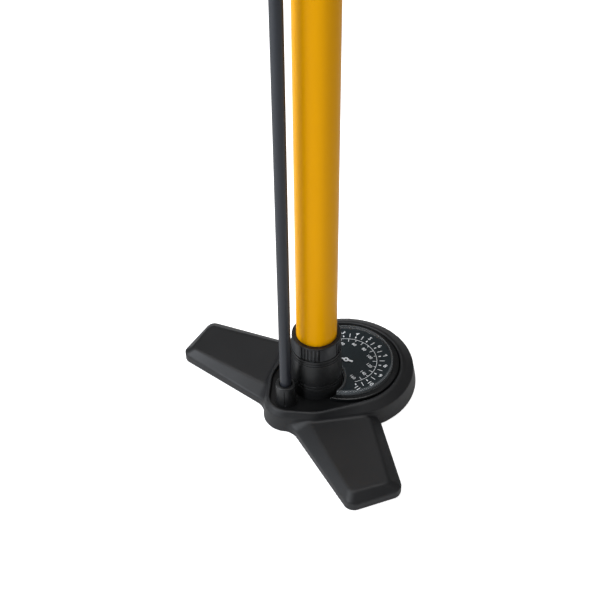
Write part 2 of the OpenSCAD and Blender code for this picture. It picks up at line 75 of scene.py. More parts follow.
# ---------------------------------------------------------------- hose
# A 10 mm rubber hose with a smooth satin cover, about a metre long. It is pushed over a barb in
# the foot, clipped to the top cap, and crimped into the pump head, which hangs on the barrel.
MM = 0.001
hose_r = 5 * MM
hose_route = [
    (0, 35, 30), (0, 35, 70), (0, 35, 110), (0, 35, 170), (0, 35, 240), (0, 35, 320),
    (0, 35, 400), (0, 35, 480), (0, 35, 550), (0, 35, 604), (0, 35, 650), (0, 35, 690),
    (3, 35, 706), (12, 35, 720), (26, 35, 729), (42, 35, 732), (58, 35, 729), (72, 35, 720),
    (81, 35, 706), (84, 35, 690), (84, 35, 665), (83, 34, 640), (79, 31, 612), (71, 25, 582),
    (61, 17, 553), (53, 11, 528), (49, 8.5, 510), (48, 8, 498), (48, 8, 490), (48, 8, 482),
    (48, 8, 474)]


def shader_group(name, inputs, outputs):
    """An empty shader group with float inputs (name, default) and float outputs."""
    tree = bpy.data.node_groups.new(name, "ShaderNodeTree")
    for label, default in inputs:
        socket = tree.interface.new_socket(label, in_out="INPUT", socket_type="NodeSocketFloat")
        socket.default_value = default
    for label in outputs:
        tree.interface.new_socket(label, in_out="OUTPUT", socket_type="NodeSocketFloat")
    return tree, tree.nodes.new("NodeGroupInput"), tree.nodes.new("NodeGroupOutput")


def grain_group():
    """Two sizes of noise: Height for the bump, Patch for slow changes of tone and gloss."""
    tree, given, out = shader_group(
        "moulded_grain", [("Grain size", 900.0), ("Patch size", 18.0)], ["Height", "Patch"])
    place = tree.nodes.new("ShaderNodeTexCoord")
    fine = tree.nodes.new("ShaderNodeTexNoise")
    fine.inputs["Detail"].default_value = 3
    slow = tree.nodes.new("ShaderNodeTexNoise")
    slow.inputs["Detail"].default_value = 4
    tree.links.new(place.outputs["Object"], fine.inputs["Vector"])
    tree.links.new(place.outputs["Object"], slow.inputs["Vector"])
    tree.links.new(given.outputs["Grain size"], fine.inputs["Scale"])
    tree.links.new(given.outputs["Patch size"], slow.inputs["Scale"])
    tree.links.new(fine.outputs["Fac"], out.inputs["Height"])
    tree.links.new(slow.outputs["Fac"], out.inputs["Patch"])
    return tree


GRAIN = grain_group()


def grain_node(tree, grain, patch):
    """The shared grain, placed in a finish with its own sizes."""
    node = tree.nodes.new("ShaderNodeGroup")
    node.node_tree = GRAIN
    node.inputs["Grain size"].default_value = grain
    node.inputs["Patch size"].default_value = patch
    return node


def drift(tree, base, low, high):
    """A value that moves from low to high with the grain's patches."""
    node = tree.nodes.new("ShaderNodeMapRange")
    for label, value in (("From Min", 0.3), ("From Max", 0.7), ("To Min", low), ("To Max", high)):
        node.inputs[label].default_value = value
    tree.links.new(base.outputs["Patch"], node.inputs["Value"])
    return node.outputs["Result"]


def finish_of(name, colour, other, rough, rough_other, grain=900.0, patch=18.0, bump=0.05,
              bump_depth=0.0002, wear=None, wear_colour=None, **fixed):
    """A finish whose tone and gloss drift, with a fine bump and, if asked, worn outer edges."""
    mat = bpy.data.materials.new(name)
    mat.use_nodes = True
    tree = mat.node_tree
    skin = tree.nodes["Principled BSDF"]
    for label, value in fixed.items():
        skin.inputs[label.replace("_", " ")].default_value = value
    base = grain_node(tree, grain, patch)
    tone = tree.nodes.new("ShaderNodeMix")
    tone.data_type = "RGBA"
    tone.inputs["A"].default_value = (*colour, 1)
    tone.inputs["B"].default_value = (*other, 1)
    tree.links.new(base.outputs["Patch"], tone.inputs["Factor"])
    last = tone
    tree.links.new(drift(tree, base, rough, rough_other), skin.inputs["Roughness"])
    if wear:
        worn = tree.nodes.new("ShaderNodeGroup")
        worn.node_tree = WEAR
        worn.inputs["Low"].default_value = wear[0]
        worn.inputs["High"].default_value = wear[1]
        mix = tree.nodes.new("ShaderNodeMix")
        mix.data_type = "RGBA"
        mix.inputs["B"].default_value = (*wear_colour, 1)
        tree.links.new(worn.outputs["Mask"], mix.inputs["Factor"])
        tree.links.new(tone.outputs["Result"], mix.inputs["A"])
        last = mix
    tree.links.new(last.outputs["Result"], skin.inputs["Base Color"])
    relief = tree.nodes.new("ShaderNodeBump")
    relief.inputs["Strength"].default_value = bump
    relief.inputs["Distance"].default_value = bump_depth
    tree.links.new(base.outputs["Height"], relief.inputs["Height"])
    tree.links.new(relief.outputs["Normal"], skin.inputs["Normal"])
    return mat


def object_of(name, points, faces):
    """A plain mesh object from points in metres."""
    mesh = bpy.data.meshes.new(name)
    mesh.from_pydata([tuple(p) for p in points], [], faces)
    mesh.update()
    obj = bpy.data.objects.new(name, mesh)
    bpy.context.scene.collection.objects.link(obj)
    return obj


def dress(obj, material, stands_for, body="pump", sharp=None):
    """Merges and shades a mesh, gives it its finish, hides the CAD node it stands for and ties it
    to its body.
    """
    merge_gap, sliver = 2e-6, 1e-6
    bm = bmesh.new()
    bm.from_mesh(obj.data)
    bmesh.ops.remove_doubles(bm, verts=bm.verts, dist=merge_gap)
    bmesh.ops.dissolve_degenerate(bm, dist=sliver, edges=bm.edges)
    bmesh.ops.recalc_face_normals(bm, faces=bm.faces)
    bm.to_mesh(obj.data)
    bm.free()
    obj.data.materials.clear()
    obj.data.materials.append(material)
    obj.data.polygons.foreach_set("use_smooth", [True] * len(obj.data.polygons))
    if sharp is not None:
        obj.data.set_sharp_from_angle(angle=math.radians(sharp))
    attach(obj, body)
    if stands_for:
        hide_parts(stands_for)
    return obj


def smooth_line(points, steps):
    """Extra points between the given ones, on one smooth curve through them all."""
    p = np.array([points[0], *points, points[-1]], float)
    made = []
    for a, b, c, d in zip(p, p[1:], p[2:], p[3:]):
        for t in np.arange(steps) / steps:
            made.append(0.5 * (2 * b + (c - a) * t + (2 * a - 5 * b + 4 * c - d) * t * t
                               + (3 * b - a - 3 * c + d) * t ** 3))
    return np.array([*made, p[-1]])


def tube_faces(rings, n):
    """Quads between rings of n points each, closed with a flat face at both ends."""
    faces = [(i * n + k, i * n + (k + 1) % n, (i + 1) * n + (k + 1) % n, (i + 1) * n + k)
             for i in range(rings - 1) for k in range(n)]
    return [*faces, tuple(range(n))[::-1], tuple((rings - 1) * n + k for k in range(n))]


def swept(line, outline):
    """Rings of an outline (across, up) carried along a line without twist, closed at both ends."""
    along = np.gradient(line, axis=0)
    along /= np.linalg.norm(along, axis=1)[:, None]
    side = np.cross(along[0], (0.3, 0.9, 0.2))
    points = []
    for place, t in zip(line, along):
        side = side - t * side.dot(t)
        side /= np.linalg.norm(side)
        other = np.cross(t, side)
        points += [place + a * side + b * other for a, b in outline]
    return points, tube_faces(len(line), len(outline))


def ring_outline(r, n):
    """Points round a circle of radius r, as (across, up)."""
    turns = [2 * math.pi * k / n for k in range(n)]
    return [(r * math.cos(a), r * math.sin(a)) for a in turns]


hose_finish = finish_of("hose_rubber", (0.012, 0.0145, 0.020), (0.018, 0.021, 0.028), 0.38, 0.46,
                        grain=1500, patch=30, bump=0.08, bump_depth=0.0001,
                        Specular_IOR_Level=0.45)
hose_line = smooth_line(hose_route, 8) * MM
hose = dress(object_of("hose_tube", *swept(hose_line, ring_outline(hose_r, 32))), hose_finish,
             "hose", sharp=40)

# ---------------------------------------------------------------- floor and light
# A plain white floor that looks brighter to the camera than to the pump, a large soft window to
# the left, a weak one to the right and a panel above.
floor = bpy.data.objects.new("floor", bpy.data.meshes.new("floor"))
floor.data.from_pydata([(-6, -6, 0), (6, -6, 0), (6, 6, 0), (-6, 6, 0)], [], [(0, 1, 2, 3)])
bpy.context.scene.collection.objects.link(floor)
floor_finish = bpy.data.materials.new("floor_white")
floor_finish.use_nodes = True
paper = floor_finish.node_tree.nodes["Principled BSDF"]
paper.inputs["Base Color"].default_value = (0.9, 0.9, 0.9, 1)
paper.inputs["Roughness"].default_value = 0.9
paper.inputs["Emission Color"].default_value = (1, 1, 1, 1)
floor_ray = floor_finish.node_tree.nodes.new("ShaderNodeLightPath")
glow = floor_finish.node_tree.nodes.new("ShaderNodeMapRange")
glow.inputs["To Min"].default_value = 0.0
glow.inputs["To Max"].default_value = 0.75
floor_finish.node_tree.links.new(floor_ray.outputs["Is Camera Ray"], glow.inputs["Value"])
floor_finish.node_tree.links.new(glow.outputs["Result"], paper.inputs["Emission Strength"])
floor.data.materials.append(floor_finish)


def softbox(name, place, aim, width, height, power, colour=(1, 1, 1)):
    """A rectangular lamp, sizes in metres and power in watts, turned towards a point."""
    lamp = bpy.data.lights.new(name, "AREA")
    lamp.shape = "RECTANGLE"
    lamp.size = width
    lamp.size_y = height
    lamp.energy = power
    lamp.color = colour
    obj = bpy.data.objects.new(name, lamp)
    bpy.context.scene.collection.objects.link(obj)
    obj.location = place
    obj.rotation_mode = "QUATERNION"
    obj.rotation_quaternion = (Vector(aim) - Vector(place)).to_track_quat("-Z", "Y")
    return obj


middle = view_target
left_of_view = -right
softbox("left_window", middle + left_of_view * 1.5 + back * 1.0 + Vector((0, 0, 0.1)), middle,
        width=1.2, height=1.6, power=35, colour=(0.90, 0.94, 1.0))
softbox("right_window", middle - left_of_view * 1.5 + back * 1.3, middle,
        width=0.9, height=1.4, power=2.2, colour=(1.0, 0.98, 0.95))
away = -Vector((back.x, back.y, 0)).normalized()
softbox("top_panel", middle + left_of_view * 0.2 + away * 0.15 + Vector((0, 0, 2.1)), middle,
        width=1.8, height=1.8, power=33)

world = bpy.data.worlds.new("studio")
bpy.context.scene.world = world
world.use_nodes = True
sky = world.node_tree
sky.nodes["Background"].inputs["Color"].default_value = (1, 1, 1, 1)
sky.nodes["Background"].inputs["Strength"].default_value = 0.12
seen = sky.nodes.new("ShaderNodeBackground")
seen.inputs["Color"].default_value = (0.97, 0.97, 0.97, 1)
choose = sky.nodes.new("ShaderNodeMixShader")
ray = sky.nodes.new("ShaderNodeLightPath")
sky.links.new(ray.outputs["Is Camera Ray"], choose.inputs["Fac"])
sky.links.new(sky.nodes["Background"].outputs["Background"], choose.inputs[1])
sky.links.new(seen.outputs["Background"], choose.inputs[2])
sky.links.new(choose.outputs["Shader"], sky.nodes["World Output"].inputs["Surface"])

# ---------------------------------------------------------------- barrel
# A steel tube, 35 mm across with a 1.25 mm wall, dip coated in gloss golden yellow. Its lower end
# stands in the foot's socket, and the top cap is screwed on its upper end.


def softened(loop, radius, steps=4):
    """A closed loop of (r, z) corners with each corner off the axis replaced by a short arc."""
    made = []
    for a, b, c in zip([loop[-1], *loop[:-1]], loop, [*loop[1:], loop[0]]):
        a, b, c = (np.array(v, float) for v in (a, b, c))
        into, out = a - b, c - b
        cut = min(radius, 0.45 * np.linalg.norm(into), 0.45 * np.linalg.norm(out))
        if b[0] < 1e-6 or radius == 0:
            made.append(tuple(b))
            continue
        start = b + into / np.linalg.norm(into) * cut
        end = b + out / np.linalg.norm(out) * cut
        for t in np.linspace(0, 1, steps + 1):
            made.append(tuple((1 - t) ** 2 * start + 2 * t * (1 - t) * b + t * t * end))
    return made


def turned(name, loop, soften=0.6, steps=96, place=None):
    """A turned object from a closed loop of (r, z) corners in mm, on the Z axis unless placed."""
    loop = softened(loop, soften)
    points, faces, n = [], [], len(loop)
    for s in range(steps):
        a = 2 * math.pi * s / steps
        points += [Vector((r * math.cos(a), r * math.sin(a), z)) * MM for r, z in loop]
        t = (s + 1) % steps
        for k in range(n):
            m = (k + 1) % n
            faces.append((s * n + k, t * n + k, t * n + m, s * n + m))
    if place is not None:
        points = [place @ p for p in points]
    return object_of(name, points, faces)


low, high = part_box("barrel")
barrel_wall = 1.25
barrel_r = high.x / MM
bore_r = barrel_r - barrel_wall
yellow = finish_of("yellow_paint", (0.93, 0.415, 0.0), (0.96, 0.435, 0.0), 0.3, 0.34,
                   grain=260, patch=9, bump=0.035, bump_depth=0.0004,
                   Coat_Weight=0.03, Coat_Roughness=0.12, Specular_IOR_Level=0.05)
barrel = turned("barrel_tube", [(bore_r, low.z / MM), (barrel_r, low.z / MM),
                                (barrel_r, high.z / MM), (bore_r, high.z / MM)],
                soften=0.4, steps=160)
dress(barrel, yellow, "barrel", sharp=35)

# ---------------------------------------------------------------- foot
# One moulding in black glass-filled nylon, 3 mm thick: a round middle with a sloped rim, and two
# flat wings with bevelled edges for the feet of whoever pumps. The deck inside the rim is smoother
# than the rest, and it is painted blacker as painted shade for the shadow that lies in the tray.


def wear_group():
    """A mask that is 1 on worn outer edges and 0 on open faces."""
    tree, given, out = shader_group(
        "edge_wear", [("Low", 0.52), ("High", 0.62), ("Break up", 60.0)], ["Mask"])
    shape = tree.nodes.new("ShaderNodeNewGeometry")
    place = tree.nodes.new("ShaderNodeTexCoord")
    noise = tree.nodes.new("ShaderNodeTexNoise")
    edge = tree.nodes.new("ShaderNodeMapRange")
    times = tree.nodes.new("ShaderNodeMath")
    times.operation = "MULTIPLY"
    tree.links.new(place.outputs["Object"], noise.inputs["Vector"])
    tree.links.new(given.outputs["Break up"], noise.inputs["Scale"])
    tree.links.new(shape.outputs["Pointiness"], edge.inputs["Value"])
    tree.links.new(given.outputs["Low"], edge.inputs["From Min"])
    tree.links.new(given.outputs["High"], edge.inputs["From Max"])
    tree.links.new(edge.outputs["Result"], times.inputs[0])
    tree.links.new(noise.outputs["Fac"], times.inputs[1])
    tree.links.new(times.outputs["Value"], out.inputs["Mask"])
    return tree


WEAR = wear_group()

black = finish_of("black_moulding", (0.008, 0.0083, 0.0092), (0.011, 0.0113, 0.0123), 0.44, 0.54,
                  grain=1300, patch=26, bump=0.16, bump_depth=0.00012,
                  wear=(0.53, 0.60), wear_colour=(0.045, 0.047, 0.05), Specular_IOR_Level=0.38)
deck_z, rim_z, wall_z, foot_z = 19.0, 23.0, 17.5, 0.5
wing_edge_z, wing_top_z = 8.5, 15.3
skin, rim_w = 3.0, 2.5
gauge_hole_r, scoop_hole_r, plug_hole_r, hose_hole_r = 45.2, 25.0, 19.05, 7.05
dial_y, gland_y = -35.0, 35.0
fillet_r, back_fillet_r = 2.2, 3.2
wing_corner_r, bevel_corner_r, wing_edge_r, wing_top_r = 8.0, 3.5, 1.0, 0.9
# circles of the middle's outline as (y, radius) on the floor, at the wall's top and at the rim
middle_rings = ([(-35, 64), (6, 41), (33.6, 21.4)],
                [(-35, 61), (6, 40), (33, 21)],
                [(-33, 53), (5, 38.5), (31, 20)])
wing_floor = [(10, 42.5), (60, -21), (132.7, 18.7), (116.6, 64.7)]
wing_flat = [(27, 33), (58, -11.5), (124, 26.6), (110, 58)]


def cut_round(a, b, r):
    """What lies in both solids, with the edge between them rounded to radius r."""
    return np.minimum(np.maximum(a, b), -r) + np.hypot(np.maximum(a + r, 0), np.maximum(b + r, 0))


def join_round(a, b, r):
    """What lies in either solid, with the corner between them filled to radius r."""
    return np.maximum(np.minimum(a, b), r) - np.hypot(np.maximum(r - a, 0), np.maximum(r - b, 0))


def to_tapered_bar(x, y, ya, ra, yb, rb):
    """Distance to two circles on the Y axis and the tangents that join them."""
    length = yb - ya
    lean = (ra - rb) / length
    rise = np.sqrt(1 - lean * lean)
    across, along = np.abs(x), y - ya
    k = along * rise - across * lean
    near_a = np.hypot(across, along) - ra
    near_b = np.hypot(across, along - length) - rb
    flat = across * rise + along * lean - ra
    return np.where(k < 0, near_a, np.where(k > rise * length, near_b, flat))


def to_middle(x, y, z, inset=0.0):
    """Distance to the middle's outline at height z."""
    floor_rings, wall_rings, rim_rings = middle_rings
    up = np.clip((z - foot_z) / (wall_z - foot_z), 0, 1)
    over = np.clip((z - wall_z) / (rim_z - wall_z), 0, 1.6)

    def ring(i):
        levels = zip(floor_rings[i], wall_rings[i], rim_rings[i])
        y_at, r_at = (low + (wall - low) * up + (rim - wall) * over for low, wall, rim in levels)
        return y_at, r_at - inset

    parts = []
    for i in (0, 1):
        (ya, ra), (yb, rb) = ring(i), ring(i + 1)
        parts.append(to_tapered_bar(x, y, ya, ra, yb, rb))
    return np.minimum(parts[0], parts[1])


def to_wing(x, y, z):
    """Distance to a wing: upright edges, sloped bevels and a flat top, its corners rounded."""
    x = np.abs(x)
    upright_sides, bevels = None, None
    n = len(wing_floor)
    for i in range(n):
        p, q = np.array(wing_floor[i], float), np.array(wing_floor[(i + 1) % n], float)
        a, b = np.array(wing_flat[i], float), np.array(wing_flat[(i + 1) % n], float)
        u = (q - p) / np.linalg.norm(q - p)
        out = np.array([u[1], -u[0]])
        side = (x - p[0]) * out[0] + (y - p[1]) * out[1]
        along = np.clip(((x - p[0]) * u[0] + (y - p[1]) * u[1]) / np.linalg.norm(q - p), 0, 1)
        width = (1 - along) * -(a - p).dot(out) + along * -(b - p).dot(out)
        rise = (wing_top_z - wing_edge_z) / width
        slope = (z - wing_edge_z + rise * side) / np.sqrt(1 + rise * rise)
        upright_sides = side if upright_sides is None else cut_round(
            upright_sides, side, wing_corner_r)
        bevels = slope if bevels is None else cut_round(bevels, slope, bevel_corner_r)
    wing = cut_round(upright_sides, bevels, wing_edge_r)
    return cut_round(wing, z - wing_top_z, wing_top_r)


def to_foot(p):
    """Signed distance to the foot in mm, negative inside the moulding."""
    x, y, z = p[..., 0], p[..., 1], p[..., 2]
    rim_lean = 0.8
    outer = cut_round(to_middle(x, y, z) * rim_lean, z - rim_z, 1.2)
    wing = to_wing(x, y, z)
    low_at_the_back = np.clip((y - 24) / 14, 0, 1) * np.clip((15.5 - z) / 5, 0, 1)
    solid = join_round(outer, wing, fillet_r + back_fillet_r * low_at_the_back)
    straight = to_middle(x, y, np.full_like(z, wall_z), skin)
    hollow = np.maximum(np.minimum(straight, wing + skin), z - (deck_z - skin))
    tray = np.maximum(to_middle(x, y, np.full_like(z, rim_z), rim_w), deck_z - z)
    solid = cut_round(solid, -tray, 0.7)
    from_axis = np.hypot(x, y)
    gauge_hole = np.maximum(np.hypot(x, y - dial_y) - gauge_hole_r,
                            scoop_hole_r - from_axis)
    wells = np.minimum(gauge_hole, np.minimum(from_axis - plug_hole_r,
                                              np.hypot(x, y - gland_y) - hose_hole_r))
    solid = cut_round(solid, -wells, 0.3)
    solid = cut_round(solid, foot_z - z, 0.8)
    return np.maximum(solid, -hollow)


def edge_ends(values, axis):
    """The values at the lower and the upper end of every grid edge along an axis."""
    lower, upper = [slice(None)] * 3, [slice(None)] * 3
    lower[axis], upper[axis] = slice(0, -1), slice(1, None)
    return values[tuple(lower)], values[tuple(upper)]


def skin_of(field, low, high, step):
    """Closed quads on the zero surface of a distance field, by surface nets, then moved onto it."""
    axes = [np.arange(a, b + step, step) for a, b in zip(low, high)]
    grid = np.stack(np.meshgrid(*axes, indexing="ij"), -1)
    value = field(grid)
    inside = value < 0
    shape = np.array(value.shape) - 1
    count = np.zeros(shape, np.int32)
    total = np.zeros((*shape, 3))
    for axis in range(3):
        v0, v1 = edge_ends(value, axis)
        here, there = edge_ends(inside, axis)
        cross = here != there
        share = np.where(cross, v0 / np.where(cross, v0 - v1, 1), 0)
        place = edge_ends(grid, axis)[0].copy()
        place[..., axis] += share * step
        others = [i for i in range(3) if i != axis]
        for da in (0, 1):
            for db in (0, 1):
                part = [slice(None)] * 3
                part[others[0]] = slice(da, da + shape[others[0]])
                part[others[1]] = slice(db, db + shape[others[1]])
                count += cross[tuple(part)]
                total += np.where(cross[tuple(part)][..., None], place[tuple(part)], 0)
    live = count > 0
    number = np.full(shape, -1, np.int64)
    number[live] = np.arange(live.sum())
    points = total[live] / count[live][:, None]
    faces = []
    for axis in range(3):
        a, b = (axis + 1) % 3, (axis + 2) % 3
        here, there = edge_ends(inside, axis)
        at = np.argwhere(here != there)
        at = at[(at[:, a] > 0) & (at[:, b] > 0) & (at[:, a] < shape[a]) & (at[:, b] < shape[b])]
        outward = here[tuple(at.T)]
        corners = []
        for da, db in ((-1, -1), (0, -1), (0, 0), (-1, 0)):
            cell = at.copy()
            cell[:, a] += da
            cell[:, b] += db
            corners.append(number[tuple(cell.T)])
        quad = np.stack(corners, 1)
        quad[~outward] = quad[~outward][:, ::-1]
        faces.append(quad)
    probe = 0.05
    for _ in range(4):
        d = field(points)
        slope = np.stack([(field(points + probe * axis) - field(points - probe * axis))
                          / (2 * probe) for axis in np.eye(3)], -1)
        move = -d[:, None] * slope / np.maximum((slope ** 2).sum(1), 0.2)[:, None]
        size = np.linalg.norm(move, axis=1)
        points = points + move * np.minimum(1, 0.4 * step / np.maximum(size, 1e-9))[:, None]
    return points, [tuple(map(int, f)) for f in np.concatenate(faces)]


def moulded(name, field, low, high, step):
    points, faces = skin_of(field, low, high, step * (1))
    return object_of(name, points * MM, faces)


foot = moulded("foot_moulding", to_foot, (-136, -102, -2), (136, 68, 26), 1.0)
dress(foot, black, "base_housing")
# Painted shade: a blacker colour on the deck inside the rim stands in for the tray's shadow; its
# lower roughness is real.
tray_black = finish_of("tray_black", (0.003, 0.0032, 0.0034), (0.0045, 0.0047, 0.005), 0.3, 0.4,
                       grain=1600, patch=30, bump=0.04, bump_depth=0.00008, Specular_IOR_Level=0.3)
foot.data.materials.append(tray_black)
# The deck faces inside the rim take the painted shade.
for face in foot.data.polygons:
    x, y, z = np.array(face.center) / MM
    if abs(z - deck_z) < 0.6 and to_middle(x, y, rim_z, rim_w - 0.2) < 0:
        face.material_index = 1

# ---------------------------------------------------------------- barrel socket and collar
# A smoother black moulding stands on the deck and grips the barrel. A screwed ring on top of it
# has four groups of five raised ribs for the fingers, with plain panels between them.
trim = finish_of("black_trim", (0.009, 0.0095, 0.01), (0.013, 0.0135, 0.014), 0.34, 0.44,
                 grain=1600, patch=34, bump=0.1, bump_depth=0.0001,
                 wear=(0.53, 0.6), wear_colour=(0.05, 0.052, 0.056), Specular_IOR_Level=0.4)
socket_r, socket_flare, grip_bore = 21.6, 1.1, 17.55
socket_grooves = (31.5, 34.5, 58.2, 60.8)
ring_low, ring_high = 64.0, 79.7
ring_r, ring_waist_r, lip_h = 21.3, 20.4, 1.6
rib_low, rib_high = ring_low + 0.9, ring_high - 1.4
rib_step, quarter_turn = math.radians(8.6), math.radians(90)


def grooved(r, low, high, places, width=0.5, depth=0.5, flare=0.0):
    """A turned loop's outer side from low to high, with grooves, wider by flare at its foot."""
    def side(z, inwards=0.0):
        return r + flare * (high - z) / (high - low) - inwards, z

    made = [side(low)]
    for z in places:
        made += [side(z), side(z, depth), side(z + width, depth), side(z + width)]
    return [*made, side(high)]


socket = turned("barrel_socket_moulding", [
    (grip_bore, deck_z),
    *grooved(socket_r, deck_z, ring_low, socket_grooves, flare=socket_flare),
    (grip_bore, ring_low)], soften=0.2, steps=128)
dress(socket, trim, "barrel_socket", sharp=40)


def ribs_group():
    """Turns one rib at the X axis into a ring of ribs about Z, in groups with gaps between."""
    tree = bpy.data.node_groups.new("ring_of_ribs", "GeometryNodeTree")
    sizes = (("Rib", "Geometry"), ("Count", "Int"), ("Per group", "Int"), ("Step", "Float"),
             ("Group step", "Float"), ("Start", "Float"), ("Finish", "Material"))
    for label, kind in sizes:
        tree.interface.new_socket(label, in_out="INPUT", socket_type="NodeSocket" + kind)
    tree.interface.new_socket("Ribs", in_out="OUTPUT", socket_type="NodeSocketGeometry")
    given, out = tree.nodes.new("NodeGroupInput"), tree.nodes.new("NodeGroupOutput")
    spots = tree.nodes.new("GeometryNodeMeshLine")
    spots.inputs["Offset"].default_value = (0, 0, 0)
    index = tree.nodes.new("GeometryNodeInputIndex")

    def maths(operation, a, b):
        node = tree.nodes.new("ShaderNodeMath")
        node.operation = operation
        tree.links.new(a, node.inputs[0])
        if b is not None:
            tree.links.new(b, node.inputs[1])
        return node.outputs[0]

    ratio = maths("DIVIDE", index.outputs[0], given.outputs["Per group"])
    group = maths("FLOOR", ratio, None)
    earlier = maths("MULTIPLY", group, given.outputs["Per group"])
    within = maths("SUBTRACT", index.outputs[0], earlier)
    turn = maths("ADD", maths("ADD", given.outputs["Start"],
                              maths("MULTIPLY", group, given.outputs["Group step"])),
                 maths("MULTIPLY", within, given.outputs["Step"]))
    angles = tree.nodes.new("ShaderNodeCombineXYZ")
    euler = tree.nodes.new("FunctionNodeEulerToRotation")
    instances = tree.nodes.new("GeometryNodeInstanceOnPoints")
    real = tree.nodes.new("GeometryNodeRealizeInstances")
    paint = tree.nodes.new("GeometryNodeSetMaterial")
    tree.links.new(given.outputs["Count"], spots.inputs["Count"])
    tree.links.new(spots.outputs["Mesh"], instances.inputs["Points"])
    tree.links.new(given.outputs["Rib"], instances.inputs["Instance"])
    tree.links.new(turn, angles.inputs["Z"])
    tree.links.new(angles.outputs["Vector"], euler.inputs[0])
    tree.links.new(euler.outputs[0], instances.inputs["Rotation"])
    tree.links.new(instances.outputs["Instances"], real.inputs["Geometry"])
    tree.links.new(real.outputs["Geometry"], paint.inputs["Geometry"])
    tree.links.new(given.outputs["Finish"], paint.inputs["Material"])
    tree.links.new(paint.outputs["Geometry"], out.inputs["Ribs"])
    return tree


RIBS = ribs_group()


def rib_bar(r_in, r_out, width, low, high, soft):
    """One upright rib at the X axis, its outer edges and both ends rounded off."""
    points = []
    rings = ((low, soft), (low + soft * 0.4, soft * 0.3), (low + soft, 0),
             (high - soft, 0), (high - soft * 0.4, soft * 0.3), (high, soft))
    for z, pull in rings:
        r, w = r_out - pull, width / 2 - pull * 0.5
        points += [(r_in, -w, z), (r - soft, -w, z), (r - soft * 0.3, -w + soft * 0.3, z),
                   (r, -w + soft, z), (r, w - soft, z), (r - soft * 0.3, w - soft * 0.3, z),
                   (r - soft, w, z), (r_in, w, z)]
    return np.array(points) * MM, tube_faces(len(rings), len(points) // len(rings))


def ring_of_ribs(name, rib, finish, place=None, **values):
    """A ring of ribs as one mesh object, made by the node group with these named inputs."""
    obj = object_of(name, *rib)
    mod = obj.modifiers.new("ribs", "NODES")
    mod.node_group = RIBS
    values["Finish"] = finish
    for item in RIBS.interface.items_tree:
        label = item.name.replace(" ", "_")
        if item.in_out == "INPUT" and label in values:
            mod[item.identifier] = values[label]
    bpy.context.view_layer.update()
    ready = obj.evaluated_get(bpy.context.evaluated_depsgraph_get())
    mesh = bpy.data.meshes.new_from_object(ready)
    obj.modifiers.remove(mod)
    if place is not None:
        mesh.transform(place)
    obj.data = mesh
    return obj


def band(inner, outer, low, high):
    """A closed flat band between two lines of (x, y) points given in mm."""
    n = len(inner)
    points = [(*p, z) for line, z in ((inner, low), (outer, low), (inner, high), (outer, high))
              for p in line]
    faces = []
    for i in range(n - 1):
        for a, b in ((0, 1), (1, 3), (3, 2), (2, 0)):
            faces.append((a * n + i, a * n + i + 1, b * n + i + 1, b * n + i))
    for i in (0, n - 1):
        faces.append((i, n + i, 3 * n + i, 2 * n + i))
    return np.array(points) * MM, faces


def joined(first, *others):
    """Adds the meshes of other objects to the first one, as further closed shells."""
    bm = bmesh.new()
    for obj in (first, *others):
        bm.from_mesh(obj.data)
    bm.to_mesh(first.data)
    bm.free()
    for obj in others:
        bpy.data.objects.remove(obj)
    return first


collar = turned("collar_ring_moulding", [
    (grip_bore, ring_low), (ring_waist_r, ring_low), (ring_waist_r, ring_high - lip_h),
    (ring_r, ring_high - lip_h), (ring_r, ring_high), (grip_bore, ring_high)],
    soften=0.4, steps=128)
collar_ribs = ring_of_ribs(
    "collar_ribs", rib_bar(ring_waist_r - 0.3, ring_r + 0.15, 1.65, rib_low, rib_high, 0.35), trim,
    Count=20, Per_group=5, Step=rib_step, Group_step=quarter_turn, Start=math.radians(17.4))
panel_half = 22
spread = np.radians(np.linspace(-panel_half, panel_half, 24))
across = np.stack([np.cos(spread), np.sin(spread)], 1)
panel = band((ring_waist_r - 0.3) * across, (ring_r + 0.05) * across, rib_low, rib_high)
collar_panels = ring_of_ribs(
    "collar_panels", panel, trim, Count=4, Per_group=1, Step=0.0, Group_step=quarter_turn,
    Start=math.radians(-10.4))
dress(joined(collar, collar_ribs, collar_panels), trim, "collar_ring", sharp=40)

# ---------------------------------------------------------------- hose gland
# A moulded nut behind the barrel that holds the hose in the foot. It has a flared skirt, six
# narrow key slots in its side and a rounded lip that leaves a dark gap round the hose.
gland_r, gland_top = 8.75, 41.0
gland_bore_r, hose_bore_r, bore_step_z = 4.05, 5.4, 30.0
key_slot_w, key_slot_deep = 1.0, 0.6


def to_gland(p):
    """Signed distance to the gland nut in mm."""
    x, y, z = p[..., 0], p[..., 1] - gland_y, p[..., 2]
    r, turn = np.hypot(x, y), np.arctan2(y, x)
    flare = 0.5 * np.clip((deck_z + 6 - z) / 6, 0, 1) ** 1.5
    solid = cut_round(r - gland_r - flare, z - gland_top, 1.3)
    sector, first_slot = math.radians(60), math.radians(15)
    near = (turn - first_slot + sector / 2) % sector - sector / 2
    slot = np.maximum(np.maximum(np.abs(r * np.sin(near)) - key_slot_w / 2,
                                 gland_r - key_slot_deep - r),
                      np.maximum(z - gland_top + 3, deck_z + 2 - z))
    solid = cut_round(solid, -slot, 0.25)
    bore = np.where(z > bore_step_z, hose_bore_r, gland_bore_r) - r
    solid = cut_round(solid, bore, 0.5)
    return cut_round(solid, deck_z - z, 0.3)


gland = moulded("hose_gland_nut", to_gland, (-10, 25, 18), (10, 45, 42), 0.4)
dress(gland, trim, "hose_gland")

# ---------------------------------------------------------------- gauge
# A dial gauge sunk in the tray: a black ring, a printed dark dial with a bar scale outside and a
# psi scale inside, a white pointer, and a clear moulded cap over them. All but the pointer are
# cut away to clear the barrel's socket, and a pale painted highlight runs along the cap's edges.
dial_z = 23.0
lens_r, scoop_r = 42.5, 24.8
gauge_ring_r, gauge_ring_scoop, gauge_ring_top = 48.0, 25.2, 22.6


